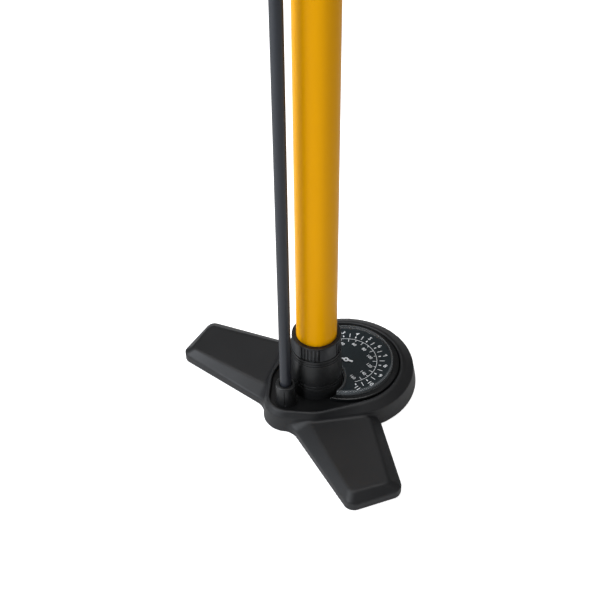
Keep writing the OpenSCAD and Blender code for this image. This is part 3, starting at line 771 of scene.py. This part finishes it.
def to_bezel(p):
    """Signed distance to the ring round the gauge in mm."""
    x, y, z = p[..., 0], p[..., 1], p[..., 2]
    r = np.hypot(x, y - dial_y)
    side = cut_round(r - gauge_ring_r, gauge_ring_scoop - np.hypot(x, y), 0.8)
    solid = cut_round(side, z - gauge_ring_top, 0.9)
    solid = cut_round(solid, lens_r + 0.05 - r, 0.4)
    return np.maximum(solid, deck_z - z)


def cap_outline(inset, z, cut=2.5):
    """The clear cap's outline at a height, drawn in by an inset, with its two horns rounded off."""
    r, scoop = lens_r - inset, scoop_r + inset
    up = (r * r - scoop * scoop + dial_y * dial_y) / (-2 * dial_y)
    wide = math.sqrt(r * r - up * up)
    round_cap = math.atan2(up, wide)
    round_socket = math.atan2(dial_y + up, wide)
    sweep = np.linspace(round_cap - cut / r, -math.pi - round_cap + cut / r, 150)
    edge = np.stack([r * np.cos(sweep), dial_y + r * np.sin(sweep)], 1)
    sweep = np.linspace(-math.pi - round_socket + cut / scoop, round_socket - cut / scoop, 72)
    hollow = np.stack([scoop * np.cos(sweep), scoop * np.sin(sweep)], 1)

    def horn(start, tip, end):
        t = np.linspace(0, 1, 8)[1:-1, None]
        return (1 - t) ** 2 * start + 2 * t * (1 - t) * tip + t * t * end

    tip = np.array((wide, dial_y + up))
    line = np.concatenate([edge, horn(edge[-1], tip * (-1, 1), hollow[0]), hollow,
                           horn(hollow[-1], tip, edge[0])])
    return np.column_stack([line, np.full(len(line), z)])


def stacked(rings):
    """A closed shell through rings of equally many points, in mm."""
    return np.concatenate(rings) * MM, tube_faces(len(rings), len(rings[0]))


bezel = moulded("gauge_ring", to_bezel, (-50, -85, 18), (50, 14, 24), 0.7)
gloss_black = finish_of("gloss_black", (0.0035, 0.004, 0.0042), (0.005, 0.0055, 0.006), 0.2, 0.3,
                        grain=1600, patch=34, bump=0.05, bump_depth=0.0001)
dress(bezel, gloss_black, "gauge_bezel")

clear = bpy.data.materials.new("clear_cap")
clear.use_nodes = True
tree = clear.node_tree
skin_node = tree.nodes["Principled BSDF"]
skin_node.inputs["Metallic"].default_value = 1
skin_node.inputs["Base Color"].default_value = (0.95, 0.97, 1, 1)
scratches = grain_node(tree, 2400, 40)
tree.links.new(drift(tree, scratches, 0.05, 0.12), skin_node.inputs["Roughness"])
facing = tree.nodes.new("ShaderNodeLayerWeight")
steep = tree.nodes.new("ShaderNodeMath")
steep.operation = "POWER"
steep.inputs[1].default_value = 5
share = tree.nodes.new("ShaderNodeMath")
share.operation = "MULTIPLY_ADD"
share.inputs[1].default_value = 0.97
share.inputs[2].default_value = 0.012
tree.links.new(facing.outputs["Facing"], steep.inputs[0])
tree.links.new(steep.outputs["Value"], share.inputs[0])
tree.links.new(share.outputs["Value"], skin_node.inputs["Alpha"])
# inset and height, from under the face, down and up the skirt, and over its rounded top edge
cap_side = [(2.6, 24.8), (2.0, 24.8), (1.6, 24.6), (1.5, 24.2), (1.5, 20.8), (0, 20.8),
            (0, 25.5), (0.1, 25.95), (0.35, 26.3), (0.7, 26.52), (1.1, 26.6), (1.8, 26.6)]
lens = object_of("gauge_clear_cap", *stacked([cap_outline(*step) for step in cap_side]))
dress(lens, clear, "gauge_lens", sharp=40)
# Painted highlight: a pale, slightly opaque band on the cap's rim and scoop stands in for the light
# its clear edge catches.
painted_edge_highlight = finish_of("clear_cap_edge", (0.55, 0.58, 0.60), (0.66, 0.69, 0.71), 0.12, 0.2,
                     grain=1200, patch=30, bump=0.02, bump_depth=0.00005, Alpha=0.12)
lens.data.materials.append(painted_edge_highlight)
highlight_band_w = 1.6
# The faces within this band of the cap's rim and of its scoop take the painted highlight.
for face in lens.data.polygons:
    x, y, z = np.array(face.center) / MM
    if math.hypot(x, y - dial_y) > lens_r - highlight_band_w or math.hypot(x, y) < scoop_r + highlight_band_w:
        face.material_index = 1

full_scale, degrees_per_bar = 11, 21
print_low, print_high = dial_z - 0.02, dial_z + 0.03


def at_bar(bar, r):
    """The place on the dial at a pressure in bar and a distance from its centre."""
    turn = math.radians(-90 - (bar - full_scale / 2) * degrees_per_bar)
    return np.array((r * math.cos(turn), dial_y + r * math.sin(turn)))


def tick(bar, r_in, r_out, width):
    """A straight printed mark at a pressure, from one radius to another."""
    a, b = at_bar(bar, r_in), at_bar(bar, r_out)
    side = np.array((a[1] - b[1], b[0] - a[0])) / np.linalg.norm(b - a) * width / 2
    return band([a - side, b - side], [a + side, b + side], print_low, print_high)


def numeral(text, bar, r, size):
    """A numeral on the dial, upright for a reader who stands behind the pump."""
    curve = bpy.data.curves.new("numeral", "FONT")
    curve.body = text
    curve.size = size * MM
    curve.align_x = "CENTER"
    curve.align_y = "CENTER"
    curve.extrude = 0.025 * MM
    curve.offset = 0.035 * MM * size / 4
    curve.resolution_u = 3
    obj = bpy.data.objects.new("numeral", curve)
    bpy.context.scene.collection.objects.link(obj)
    bpy.context.view_layer.update()
    ready = obj.evaluated_get(bpy.context.evaluated_depsgraph_get())
    mesh = bpy.data.meshes.new_from_object(ready)
    x, y = at_bar(bar, r) * MM
    mesh.transform(Matrix.Translation((x, y, dial_z * MM + 0.005 * MM))
                   @ Matrix.Rotation(math.pi, 4, "Z"))
    bpy.data.objects.remove(obj)
    made = bpy.data.objects.new("numeral", mesh)
    bpy.context.scene.collection.objects.link(made)
    return made


bars_per_psi = 1 / 14.5
arc = np.linspace(0, full_scale, 97)
marks = [band([at_bar(b, 27.6) for b in arc], [at_bar(b, 28.0) for b in arc],
              print_low, print_high)]
marks += [tick(b, 29.8, 32.0, 1.05) for b in range(full_scale + 1)]
marks += [tick(b + 0.5, 30.2, 34.9, 0.6) for b in range(full_scale)]
marks += [tick(psi * bars_per_psi, 24.0 if psi % 20 else 25.8, 27.7, 0.5)
          for psi in range(0, 160, 10)]
pieces = [object_of("mark", *mark) for mark in marks]
pieces += [numeral(str(b), b, 35.7, 5.6) for b in range(full_scale + 1)]
pieces += [numeral(str(psi), psi * bars_per_psi, 21.6, 4.3) for psi in range(40, 161, 20)]
dial_print = joined(*pieces)
dial_print.name = "dial_scales"
white_ink = finish_of("white_ink", (0.86, 0.89, 0.92), (0.92, 0.94, 0.96), 0.5, 0.6, grain=2000,
                      patch=60, bump=0.02, bump_depth=0.00005)
dress(dial_print, white_ink, None, sharp=30)
dial_face = finish_of("dial_face", (0.0035, 0.0095, 0.013), (0.005, 0.012, 0.0155), 0.42, 0.5,
                      grain=2600, patch=30, bump=0.03, bump_depth=0.00005,
                      Specular_IOR_Level=0.3)

needle_turn = math.radians(25.5)
needle_low, needle_high = 23.75, 24.15
needle = [(-6.5, 0.9), (-6.2, 1.0), (-2.2, 0.75), (2.2, 0.75), (16, 0.5), (26.2, 0.32), (27, 0.1)]
pointer = object_of("pointer_blade", *band([(x, -w) for x, w in needle],
                                           needle, needle_low, needle_high))
hub = turned("pointer_hub", [(1.0, 23.6), (2.5, 23.6), (2.5, 24.2), (1.0, 24.2)], soften=0.15,
             steps=48)
pointer = joined(pointer, hub)
pointer.data.transform(Matrix.Translation((0, dial_y * MM, 0))
                       @ Matrix.Rotation(needle_turn, 4, "Z"))
dress(pointer, white_ink, "gauge_pointer", "gauge_needle", sharp=30)

# ---------------------------------------------------------------- top cap, bush and hose clip
# A black cap is screwed on the barrel's upper end. It holds the rod's bush and a wiper ring, and a
# sprung ring round it carries an open clip for the hose.
cap_low, cap_high, cap_r = 588.0, 630.0, 21.0
cap_neck_r, cone_h, cap_groove_up = 14.0, 16.0, 24.5
flute_count, flute_deep = 24, 0.35
barrel_end_z, bush_bore_r, rod_gap_r = 610.0, 9.05, 7.0


def to_cap(p):
    """Signed distance to the top cap in mm: a fluted foot, a groove, a cone and a stepped bore."""
    x, y, z = p[..., 0], p[..., 1], p[..., 2]
    r, turn = np.hypot(x, y), np.arctan2(y, x)
    lean = (cap_r - cap_neck_r) / cone_h
    cone = (r - cap_r + np.maximum(z - cap_low - 26, 0) * lean) / math.hypot(1, lean)
    in_flutes = np.clip((cap_low + 9 - z) / 1.5, 0, 1)
    flutes = flute_deep * np.clip(np.cos(flute_count * turn) * 2, -1, 1) * in_flutes
    solid = cut_round(cone + np.maximum(flutes, 0), z - cap_high, 1.5)
    groove = np.maximum(cap_r - 0.6 - r, np.abs(z - cap_low - cap_groove_up) - 0.4)
    solid = cut_round(solid, -groove, 0.3)
    bore_r_here = np.where(z < barrel_end_z, grip_bore,
                           np.where(z < cap_high - 2, bush_bore_r, rod_gap_r))
    solid = cut_round(solid, bore_r_here - r, 0.5)
    return cut_round(solid, cap_low - z, 0.8)


cap = moulded("barrel_cap", to_cap, (-23, -23, 586), (23, 23, 632), 0.7)
dress(cap, trim, "top_cap")
wiper_rubber = finish_of("seal_rubber", (0.010, 0.010, 0.011), (0.016, 0.016, 0.017), 0.55, 0.7,
                         grain=1800, patch=50, bump=0.15, bump_depth=0.0001)
wiper = turned("rod_wiper_ring", [(6.05, 621), (9, 621), (9, 628), (8, 628), (6.9, 627.2),
                                  (6.05, 628)], soften=0.3)
dress(wiper, wiper_rubber, "rod_wiper", sharp=40)

clip_low, clip_high = 598.0, 610.0
clip_band_r, clip_ring_r, clip_bore_r, clip_mouth = 22.5, 7.5, 5.15, 7.6


def to_clip(p):
    """Signed distance to the hose clip in mm: a band, a short arm and an open ring."""
    x, y, z = p[..., 0], p[..., 1], p[..., 2]
    r, near = np.hypot(x, y), np.hypot(x, y - gland_y)
    arm = cut_round(np.abs(x) - 4, np.abs(y - 25.4) - 5, 0.5)
    solid = join_round(np.minimum(r - clip_band_r, arm), near - clip_ring_r, 2.0)
    mouth = np.maximum(np.abs(x) - clip_mouth / 2, gland_y - y)
    solid = cut_round(solid, -np.minimum(near - clip_bore_r, mouth), 0.6)
    solid = cut_round(solid, cap_r + 0.05 - r, 0.3)
    return cut_round(cut_round(solid, z - clip_high, 1.0), clip_low - z, 1.0)


clip = moulded("hose_clip_ring", to_clip, (-24, -24, 597), (24, 44, 611), 0.6)
dress(clip, trim, "hose_clip")

# ---------------------------------------------------------------- pump head's dock
# A moulded band round the barrel with a short arm and an open ring. The pump head's ferrule is
# pushed into the ring from the side, so the head hangs clear of the barrel.
dock_low, dock_high = 476.0, 488.0
head_x, head_y = 48.0, 8.0
dock_turn = math.atan2(head_y, head_x)
dock_reach = math.hypot(head_x, head_y)
dock_band_r, dock_ring_r, dock_bore_r, dock_mouth = 20.0, 9.5, 7.2, 10.4


def to_dock(p):
    """Signed distance to the dock in mm, worked out along the line from the barrel to the head."""
    x = p[..., 0] * math.cos(dock_turn) + p[..., 1] * math.sin(dock_turn)
    y = p[..., 1] * math.cos(dock_turn) - p[..., 0] * math.sin(dock_turn)
    z = p[..., 2]
    r, near = np.hypot(x, y), np.hypot(x - dock_reach, y)
    arm = cut_round(np.abs(y) - 4, np.abs(x - 29) - 11.5, 0.5)
    solid = join_round(join_round(r - dock_band_r, arm, 2.0), near - dock_ring_r, 2.0)
    mouth = np.maximum(np.abs(y) - dock_mouth / 2, dock_reach + 2 - x)
    solid = cut_round(solid, -np.minimum(near - dock_bore_r, mouth), 0.6)
    solid = cut_round(solid, grip_bore - r, 0.3)
    return cut_round(cut_round(solid, z - dock_high, 1.0), dock_low - z, 1.0)


dock = moulded("pump_head_dock", to_dock, (-22, -22, 475), (60, 24, 489), 0.6)
dress(dock, trim, "head_dock")

# ---------------------------------------------------------------- plunger and handle
# A bright steel rod carries a moulded T piece at its top, with a rubber stop under it. Two rubber
# grips are pushed on the T's arms, and a round lid hides the bolt that holds the T to the rod.
handle_z = 660.0
hub_r, hub_up, hub_down = 16.0, 16.0, 19.0
arm_r, arm_half, core_r, core_half = 14.0, 24.0, 8.0, 122.0
lid_seat_r, rod_seat_r, bolt_hole_r = 10.05, 6.05, 3.05
steel = finish_of("ground_steel", (0.56, 0.57, 0.58), (0.64, 0.65, 0.66), 0.18, 0.28, grain=700,
                  patch=30, bump=0.02, bump_depth=0.00005, Metallic=1)
bumper = turned("rubber_stop", [(6.05, 630.6), (11, 630.6), (12, 632.4), (12, 633.6), (10.8, 635),
                                (12, 636.4), (12, 638), (11, 641), (6.05, 641)], soften=0.6)
dress(bumper, wiper_rubber, "rod_bumper", "plunger", sharp=50)


def to_handle(p):
    """Signed distance to the T piece in mm, with its rod, bolt and lid seats."""
    x, y, z = p[..., 0], p[..., 1], p[..., 2] - handle_z
    r, across = np.hypot(x, y), np.hypot(y, z)
    hub = cut_round(cut_round(r - hub_r, z - hub_up, 2.0), -hub_down - z, 2.0)
    arms = cut_round(across - arm_r, np.abs(x) - arm_half, 1.2)
    solid = join_round(hub, arms, 5.0)
    solid = np.minimum(solid, cut_round(across - core_r, np.abs(x) - core_half, 0.6))
    lid_seat = np.maximum(r - lid_seat_r, 8 - z)
    rod_hole = np.maximum(r - rod_seat_r, z)
    bolt_hole = np.maximum(r - bolt_hole_r, -z - 1)
    solid = cut_round(solid, -np.minimum(lid_seat, rod_hole), 0.6)
    return np.maximum(solid, -bolt_hole)


handle = moulded("handle_tee", to_handle, (-124, -18, 639), (124, 18, 678), 1.0)
dress(handle, trim, "handle_core", "plunger")

grip_rubber = finish_of("grip_rubber", (0.013, 0.0135, 0.0145), (0.02, 0.0205, 0.0215), 0.5, 0.62,
                        grain=1100, patch=36, bump=0.3, bump_depth=0.00018,
                        wear=(0.53, 0.62), wear_colour=(0.04, 0.041, 0.043))
grip_side = [(8.05, 24.2), (14.2, 24.2), (15, 26.5)]
for ring in range(8):
    start = 34 + ring * 9
    swell = 14.2 + 0.5 * math.cos(2 * math.pi * ring / 7)
    grip_side += [(swell, start), (swell - 0.9, start + 1.0), (swell - 0.9, start + 2.2),
                  (swell, start + 3.2)]
grip_side += [(15, 110), (16.2, 114), (16.2, 122), (8.05, 122)]
right_arm, left_arm = (Matrix.Translation((0, 0, handle_z * MM)) @ Matrix.Rotation(turn, 4, "Y")
                       for turn in (math.radians(90), math.radians(-90)))
for name, arm in (("grip_right", right_arm), ("grip_left", left_arm)):
    sleeve = turned(name + "_sleeve", grip_side, soften=0.9, steps=96, place=arm)
    dress(sleeve, grip_rubber, name, "plunger", sharp=50)
ends = [turned("grip_end", [(0, 113), (4.95, 113), (4.95, 122), (14, 122), (14, 123.6),
                            (12.4, 124.8), (8, 125), (7.4, 124.5), (0, 124.5)], soften=0.5,
               place=arm) for arm in (right_arm, left_arm)]
dress(joined(*ends), trim, "handle_end_caps", "plunger", sharp=40)
lid = turned("handle_lid", [(0, 673.5), (10, 673.5), (10, 676), (8.6, 677.6), (7, 678),
                            (6.4, 677.5), (0, 677.5)], soften=0.5)
dress(lid, trim, "handle_cap", "plunger", sharp=40)

# ---------------------------------------------------------------- pump head
# A moulded head with a knurled nut over its rubber gasket. The hose comes in from above through a
# crimped steel ferrule, and a yellow cam lever at the back squeezes the gasket on the valve.
head_z, pin_y, mouth_y = 450.0, 27.0, -16.0
tube_r, neck_r, ear_r, ear_x = 11.5, 8.5, 6.0, 8.2
gasket_r, pusher_r, air_r, pin_hole_r = 8.0, 4.05, 2.0, 2.05
ferrule = turned("crimped_ferrule", [
    (2, 468), *grooved(7, 468, 490, (473, 477, 481, 485), 1.2, 0.45), (5.05, 490), (5.05, 474),
    (2, 474)], soften=0.35, place=Matrix.Translation((head_x * MM, head_y * MM, 0)))
dress(ferrule, steel, "head_ferrule", sharp=40)


def to_head(p):
    """Signed distance to the head's body in mm: a tube, the hose's neck and two ears."""
    x, y, z = p[..., 0] - head_x, p[..., 1], p[..., 2] - head_z
    r, riser = np.hypot(x, z), np.hypot(x, y - head_y)
    tube = cut_round(cut_round(r - tube_r, y - 19, 2.5), -10 - y, 0.5)
    neck = cut_round(cut_round(riser - neck_r, z - 18, 1.2), -z, 1.0)
    solid = join_round(tube, neck, 3.0)
    ear = np.hypot(y - np.clip(y, 12, pin_y), z) - ear_r
    ears = cut_round(ear, np.abs(np.abs(x) - ear_x) - 1.5, 0.7)
    solid = join_round(solid, ears, 1.5)
    bands = np.maximum(tube_r - 0.5 - r, np.minimum(np.abs(y + 4), np.abs(y + 1.5)) - 0.45)
    solid = cut_round(solid, -bands, 0.25)
    bore = np.minimum(np.maximum(r - gasket_r, y - head_y - 3), r - pusher_r)
    passage = np.maximum(riser - air_r, -z)
    pin_hole = np.hypot(y - pin_y, z) - pin_hole_r
    return cut_round(solid, -np.minimum(np.minimum(bore, passage), pin_hole), 0.3)


head = moulded("pump_head_body", to_head, (34, -12, 436), (62, 35, 470), 0.5)
dress(head, trim, "head_body")
along_y = Matrix.Translation((head_x * MM, 0, head_z * MM)) @ Matrix.Rotation(-math.pi / 2, 4, "X")
nut = turned("valve_nut", [
    (4, mouth_y), (12.5, mouth_y), (12.5, mouth_y + 10), (11.55, mouth_y + 10),
    (11.55, mouth_y + 6), (8.05, mouth_y + 6), (8.05, mouth_y + 2), (4, mouth_y + 2)],
    soften=0.6, place=along_y)
nut_ribs = ring_of_ribs(
    "nut_ribs", rib_bar(12.1, 13.1, 1.6, mouth_y + 1.5, mouth_y + 8.5, 0.35), trim, along_y,
    Count=18, Per_group=18, Step=math.radians(20), Group_step=0.0, Start=0.0)
dress(joined(nut, nut_ribs), trim, "head_nut", sharp=40)
lever_yellow = finish_of("lever_yellow", (0.74, 0.31, 0.004), (0.8, 0.345, 0.006), 0.34, 0.42,
                         grain=1200, patch=24, bump=0.08, bump_depth=0.0001)
cam_r, cam_lift, blade_h = 5.5, 0.8, 44.0


def to_lever(p):
    """Signed distance to the lever in mm: a cam on the pin and a waisted blade that hangs down."""
    x, y, z = p[..., 0] - head_x, p[..., 1] - pin_y, p[..., 2] - head_z
    cam = cut_round(np.hypot(y, z - cam_lift) - cam_r, np.abs(x) - 6, 0.8)
    down = np.clip(-z / blade_h, 0, 1)
    thick = 3.1 - 0.6 * np.sin(math.pi * down)
    wide = 6.0 - 0.9 * np.sin(math.pi * np.clip(down * 1.1, 0, 1)) ** 2
    blade = np.hypot(y - 0.75, z - np.clip(z, -blade_h, -2)) - thick
    arm = cut_round(blade, np.abs(x) - wide, 1.2)
    solid = join_round(cam, arm, 1.5)
    dents = np.maximum(3.1 - y, np.abs((z + 38) % 3.0 - 1.5) - 0.5)
    dents = np.maximum(dents, np.maximum(z + 32, -blade_h - z))
    solid = cut_round(solid, -dents, 0.25)
    return cut_round(solid, pin_hole_r - np.hypot(y, z), 0.3)


lever = moulded("lock_lever_moulding", to_lever, (40, 19, 400), (56, 36, 458), 0.5)
dress(lever, lever_yellow, "head_lever", "lock_lever")
pin = turned("lever_pin_turned", [(0, -9.7), (1.6, -9.7), (2, -9.3), (2, 9.3), (1.6, 9.7),
                                  (0.8, 9.7), (0.5, 9.3), (0, 9.3)], soften=0.15, steps=48,
             place=Matrix.Translation((head_x * MM, pin_y * MM, head_z * MM))
             @ Matrix.Rotation(math.pi / 2, 4, "Y"))
dress(pin, steel, "lever_pin", sharp=40)

# ---------------------------------------------------------------- underside
# The foot stands on five rubber pads that are glued to a flat moulded plate. Seven screws hold
# the plate to the foot.
pads = []
pad_places = ((0, 0, 20), (0, -75, 9), (-92, 22, 9), (92, 22, 9), (0, 40, 9))
for x, y, r in pad_places:
    pads.append(turned("pad", [(0, 0), (r * 0.5, 0), (r * 0.5 + 0.4, 0.35), (r * 0.5 + 0.8, 0),
                               (r - 1.6, 0), (r - 1.2, 0.35), (r - 0.8, 0), (r, 0.2), (r, 1.2),
                               (0, 1.2)], soften=0.12, steps=64,
                       place=Matrix.Translation((x * MM, y * MM, 0))))
dress(joined(*pads), wiper_rubber, "base_feet", sharp=50)

# ---------------------------------------------------------------- inner works
# The parts that the housing hides keep their CAD shapes: brass air fittings and gauge works, a
# turned alloy plug, steel screws, and the plunger's nylon piston with its leather cup.
brass = finish_of("brass", (0.60, 0.39, 0.14), (0.68, 0.46, 0.19), 0.26, 0.38, grain=600, patch=40,
                  bump=0.04, bump_depth=0.0001, Metallic=1)
zinc = finish_of("zinc_plate", (0.42, 0.43, 0.44), (0.52, 0.53, 0.55), 0.3, 0.45, grain=500,
                 patch=60, bump=0.05, bump_depth=0.0001, Metallic=1)
alloy = finish_of("turned_alloy", (0.6, 0.61, 0.62), (0.68, 0.69, 0.7), 0.28, 0.4, grain=420,
                  patch=30, bump=0.05, bump_depth=0.0001, Metallic=1)
nylon = finish_of("nylon", (0.70, 0.66, 0.56), (0.76, 0.73, 0.64), 0.42, 0.52, grain=900,
                  patch=25, bump=0.06, bump_depth=0.0001)
leather = finish_of("cup_leather", (0.055, 0.028, 0.013), (0.10, 0.055, 0.028), 0.55, 0.75,
                    grain=800, patch=70, bump=0.35, bump_depth=0.0003)
valve_red = finish_of("valve_red", (0.25, 0.012, 0.01), (0.32, 0.02, 0.016), 0.45, 0.6, grain=1200,
                      patch=50, bump=0.08, bump_depth=0.0001)
gasket_grey = finish_of("gasket_grey", (0.13, 0.14, 0.15), (0.17, 0.18, 0.19), 0.55, 0.7,
                        grain=1500, patch=60, bump=0.15, bump_depth=0.0001)
dark_steel = finish_of("dark_steel", (0.05, 0.05, 0.055), (0.08, 0.08, 0.085), 0.35, 0.5, grain=700,
                       patch=40, bump=0.03, bump_depth=0.0001, Metallic=1)
for finish, names in (
        (black, ("base_plate", "gauge_case")), (dial_face, ("gauge_dial",)),
        (zinc, ("base_screws", "valve_spring", "piston_washer", "piston_screw", "handle_bolt")),
        (alloy, ("base_plug", "head_pusher")), (valve_red, ("valve_poppet",)),
        (brass, ("gauge_nipple", "hose_elbow", "bourdon_tube", "gauge_stem_block",
                 "movement_frame", "sector_gear")),
        (dark_steel, ("pinion_arbor",)), (wiper_rubber, ("plug_o_ring",)),
        (nylon, ("rod_bush", "piston")), (leather, ("piston_cup",)), (steel, ("piston_rod",)),
        (gasket_grey, ("head_gasket",))):
    for name in names:
        NODES[name].data.materials.clear()
        NODES[name].data.materials.append(finish)
